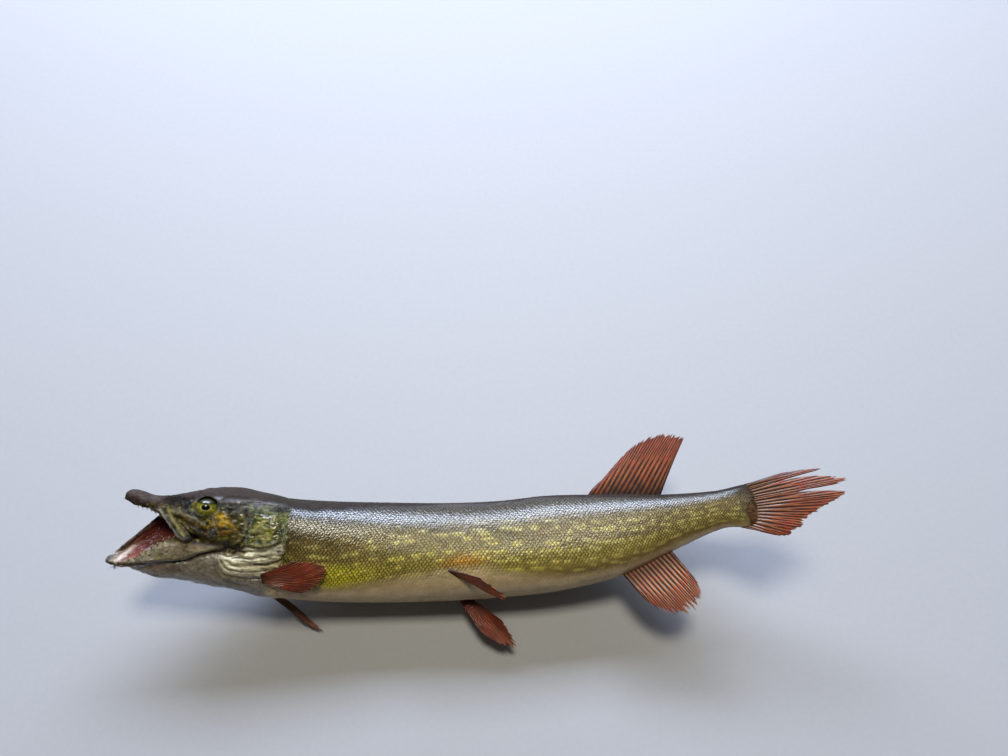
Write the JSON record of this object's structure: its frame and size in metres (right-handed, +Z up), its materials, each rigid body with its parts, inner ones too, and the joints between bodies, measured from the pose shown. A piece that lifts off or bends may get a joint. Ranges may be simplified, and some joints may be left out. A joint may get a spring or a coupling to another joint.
{
  "type": "mounted pike",
  "caption": "Still, life-size model of a mounted pike with open jaws, lying on its right side with its head and tail raised.",
  "frame": {"origin": "middle of the fish's box, on the surface that it lies on", "axes": "+X from the head towards the tail, +Y from the belly towards the back, +Z up through the fish's left side"},
  "size_m": [0.4986, 0.1432, 0.1056],
  "materials": {
    "skin": "varnished dried skin, olive with yellow spots",
    "throat_skin": "varnished dried skin, pale grey",
    "mouth_lining": "painted, red-brown to pale pink",
    "fin": "dried and varnished, brick red with darker gaps",
    "eye": "glass, black pupil in an olive iris"
  },
  "bodies": {
    "root": {"head": "skin", "lower_jaw": "skin", "throat": "throat_skin", "tongue": "mouth_lining", "mouth_skin_right": "mouth_lining", "upper_lip_left": "skin", "upper_lip_right": "skin", "gill_cover_left": "skin", "gill_cover_right": "skin", "eye_left": "eye", "eye_right": "eye", "trunk_front": "skin", "trunk_rear": "skin", "tail_stalk": "skin", "dorsal_fin": "fin", "anal_fin": "fin", "tail_fin": "fin", "pectoral_fin_left": "fin", "pectoral_fin_right": "fin", "pelvic_fin_left": "fin", "pelvic_fin_right": "fin"}
  },
  "joints": []
}
